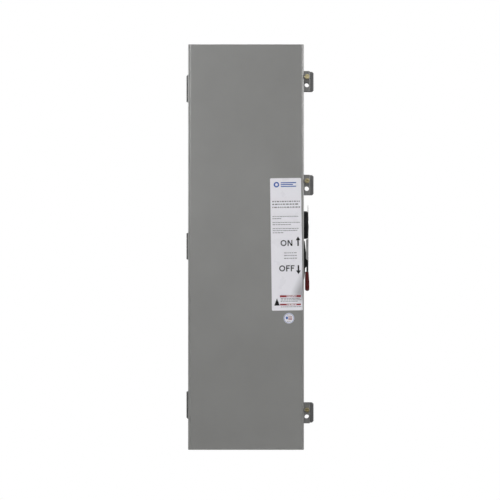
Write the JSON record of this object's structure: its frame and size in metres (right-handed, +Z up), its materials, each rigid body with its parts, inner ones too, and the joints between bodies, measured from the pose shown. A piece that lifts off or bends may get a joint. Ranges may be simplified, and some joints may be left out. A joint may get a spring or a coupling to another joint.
{
  "type": "ac disconnect box",
  "caption": "Tall grey wall-mounted disconnect enclosure with a hinged door, padlockable screw hasps, a moulded-case breaker and an external side handle.",
  "frame": {"origin": "centre of the four wall mounting holes, on the enclosure's back face", "axes": "+X to the right seen from the front, +Y towards the wall, +Z up"},
  "size_m": [0.3017, 0.1804, 0.953],
  "materials": {
    "grey_paint": "satin grey enamel",
    "hinge_steel": "dark grey painted steel",
    "plated_steel": "zinc plated",
    "lever_steel": "plated sheet steel",
    "yellow_zinc": "yellow zinc plated steel",
    "moulded_black": "moulded thermoset",
    "black_steel": "black oxide",
    "copper": "copper",
    "tin_aluminium": "tin plated",
    "red_fibre": "moulded polyester",
    "green_steel": "green dyed screw",
    "bronze": "sintered bronze",
    "gasket_rubber": "closed cell foam rubber",
    "label_film": "printed vinyl film",
    "nylon": "nylon",
    "red_grip": "dipped red plastic",
    "red_button": "red moulded"
  },
  "bodies": {
    "enclosure": {"box_shell": "grey_paint", "top_end_wall": "grey_paint", "bottom_end_wall": "grey_paint", "hinge_box_leaves": "hinge_steel", "hinge_pins": "plated_steel", "box_hasps": "grey_paint", "hasp_nuts": "yellow_zinc", "breaker_pan": "plated_steel", "pan_standoffs": "plated_steel", "pan_screws": "plated_steel", "breaker_base": "moulded_black", "breaker_cover": "moulded_black", "breaker_screws": "plated_steel", "line_straps": "copper", "load_straps": "copper", "line_lugs": "tin_aluminium", "load_lugs": "tin_aluminium", "line_lug_screws": "plated_steel", "load_lug_screws": "plated_steel", "phase_barriers": "red_fibre", "arc_chutes": "plated_steel", "trip_unit": "moulded_black", "neutral_insulator": "red_fibre", "neutral_bar": "tin_aluminium", "neutral_screws": "plated_steel", "ground_bar": "tin_aluminium", "ground_screws": "green_steel", "handle_base": "moulded_black", "shaft_bushing": "bronze", "handle_base_screws": "plated_steel", "off_lock_bracket": "black_steel", "mechanism_frame": "plated_steel", "guide_rods": "plated_steel", "frame_screws": "plated_steel"},
    "door": {"door_pan": "grey_paint", "door_gasket": "gasket_rubber", "door_stiffener": "plated_steel", "hinge_door_leaves": "hinge_steel", "door_hasps": "grey_paint", "instruction_label": "label_film", "round_seal": "label_film", "wiring_label": "label_film"},
    "handle": {"handle_lever": "lever_steel", "grip_tang": "moulded_black", "handle_grip": "red_grip", "handle_shaft": "plated_steel", "crank_arm": "plated_steel", "crank_pin": "plated_steel", "shaft_snap_ring": "black_steel"},
    "screw_top": {"hasp_screw_top": "yellow_zinc"},
    "screw_middle": {"hasp_screw_middle": "yellow_zinc"},
    "screw_bottom": {"hasp_screw_bottom": "yellow_zinc"},
    "retainer_top": {"screw_retainer_top": "nylon"},
    "retainer_middle": {"screw_retainer_middle": "nylon"},
    "retainer_bottom": {"screw_retainer_bottom": "nylon"},
    "yoke": {"yoke_slide": "yellow_zinc"},
    "toggle": {"breaker_toggle": "moulded_black"},
    "contacts": {"crossbar": "red_fibre", "contact_arms": "copper"},
    "trip_button": {"trip_button": "red_button"}
  },
  "joints": [
    {"name": "door_hinge", "type": "hinge", "parent": "enclosure", "child": "door", "pos_m": [-0.13805, -0.15, 0], "axis": [0, 0, -1], "range_deg": [0, 115]},
    {"name": "handle_throw", "type": "hinge", "parent": "enclosure", "child": "handle", "pos_m": [0.14, -0.105, 0.0535], "axis": [-1, 0, 0], "range_deg": [0, 120]},
    {"name": "yoke_travel", "type": "slide", "parent": "enclosure", "child": "yoke", "axis": [0, 0, 1], "range_m": [0, 0.041]},
    {"name": "toggle_swing", "type": "hinge", "parent": "enclosure", "child": "toggle", "pos_m": [0, -0.08368, 0.0535], "axis": [-1, 0, 0], "range_deg": [0, 40]},
    {"name": "contacts_close", "type": "hinge", "parent": "enclosure", "child": "contacts", "pos_m": [0, -0.057, 0.0615], "axis": [-1, 0, 0], "range_deg": [0, 30]},
    {"name": "trip_button_press", "type": "slide", "parent": "enclosure", "child": "trip_button", "axis": [0, 1, 0], "range_m": [0, 0.002], "stiffness_N_per_m": 400},
    {"name": "screw_top_travel", "type": "slide", "parent": "door", "child": "retainer_top", "axis": [0, 1, 0], "range_m": [0, 0.00762]},
    {"name": "screw_top_turn", "type": "hinge", "parent": "retainer_top", "child": "screw_top", "pos_m": [0.14375, -0.16, 0.4012], "axis": [0, 1, 0], "range_deg": [0, 2160]},
    {"name": "screw_middle_travel", "type": "slide", "parent": "door", "child": "retainer_middle", "axis": [0, 1, 0], "range_m": [0, 0.00762]},
    {"name": "screw_middle_turn", "type": "hinge", "parent": "retainer_middle", "child": "screw_middle", "pos_m": [0.14375, -0.16, 0.156], "axis": [0, 1, 0], "range_deg": [0, 2160]},
    {"name": "screw_bottom_travel", "type": "slide", "parent": "door", "child": "retainer_bottom", "axis": [0, 1, 0], "range_m": [0, 0.00762]},
    {"name": "screw_bottom_turn", "type": "hinge", "parent": "retainer_bottom", "child": "screw_bottom", "pos_m": [0.14375, -0.16, -0.3834], "axis": [0, 1, 0], "range_deg": [0, 2160]}
  ],
  "couplings": [
    {"joint": "yoke_travel", "follows": "handle_throw", "m_per_rad": 0.019576},
    {"joint": "toggle_swing", "follows": "handle_throw", "ratio": 0.33333},
    {"joint": "contacts_close", "follows": "handle_throw", "ratio": 0.25},
    {"joint": "screw_top_turn", "follows": "screw_top_travel", "rad_per_m": 4947.4},
    {"joint": "screw_middle_turn", "follows": "screw_middle_travel", "rad_per_m": 4947.4},
    {"joint": "screw_bottom_turn", "follows": "screw_bottom_travel", "rad_per_m": 4947.4}
  ]
}
